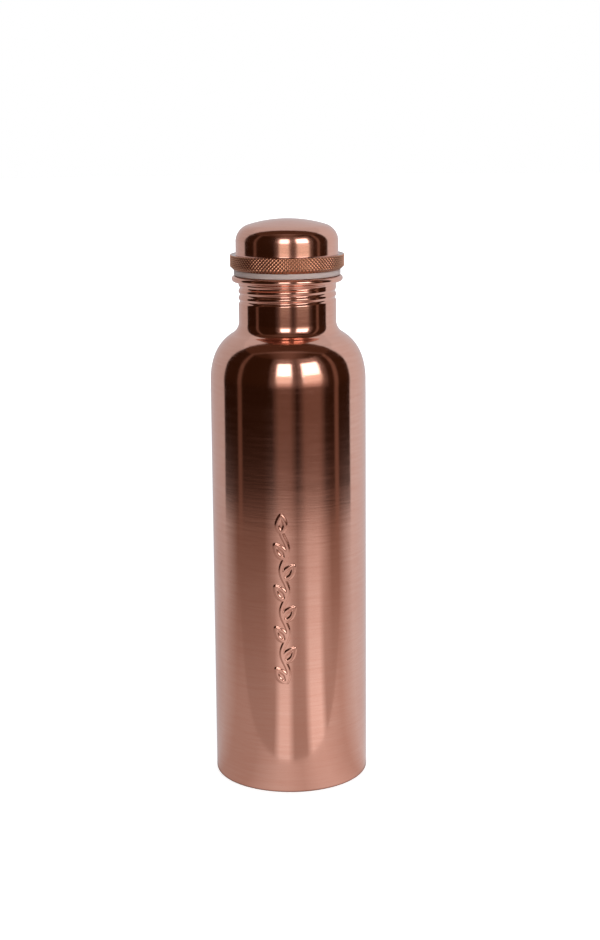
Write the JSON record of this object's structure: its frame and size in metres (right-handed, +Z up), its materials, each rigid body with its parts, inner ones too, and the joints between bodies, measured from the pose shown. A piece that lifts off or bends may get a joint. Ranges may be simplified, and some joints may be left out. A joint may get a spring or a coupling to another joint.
{
  "type": "water bottle",
  "caption": "Slim round copper water bottle with a soft shoulder, a threaded neck and a domed screw-in cap with a knurled grip ring.",
  "frame": {"origin": "centre of the foot, on the plane the bottle stands on", "axes": "+Z up along the bottle's axis, which is also its longest dimension; -Y is the front"},
  "size_m": [0.072, 0.072, 0.263],
  "materials": {
    "copper_shell": "fine circumferential brushing",
    "copper_base": "satin",
    "silicone": "matte",
    "copper_ring": "diamond knurl",
    "copper_dome": "polished",
    "copper_plug": "satin",
    "copper_disc": "spun"
  },
  "bodies": {
    "bottle": {"bottle_body": "copper_shell", "base_plate": "copper_base"},
    "gasket": {"sealing_gasket": "silicone"},
    "cap": {"knurled_ring": "copper_ring", "cap_dome": "copper_dome", "threaded_plug": "copper_plug", "plug_disc": "copper_disc"}
  },
  "joints": [
    {"name": "cap_rise", "type": "slide", "parent": "bottle", "child": "gasket", "axis": [0, 0, 1], "range_m": [0, 0.0156]},
    {"name": "cap_turn", "type": "hinge", "parent": "gasket", "child": "cap", "pos_m": [0, 0, 0.2399], "axis": [0, 0, 1], "range_deg": [0, 1800]}
  ],
  "couplings": [
    {"joint": "cap_rise", "follows": "cap_turn", "m_per_rad": 0.00049338}
  ]
}
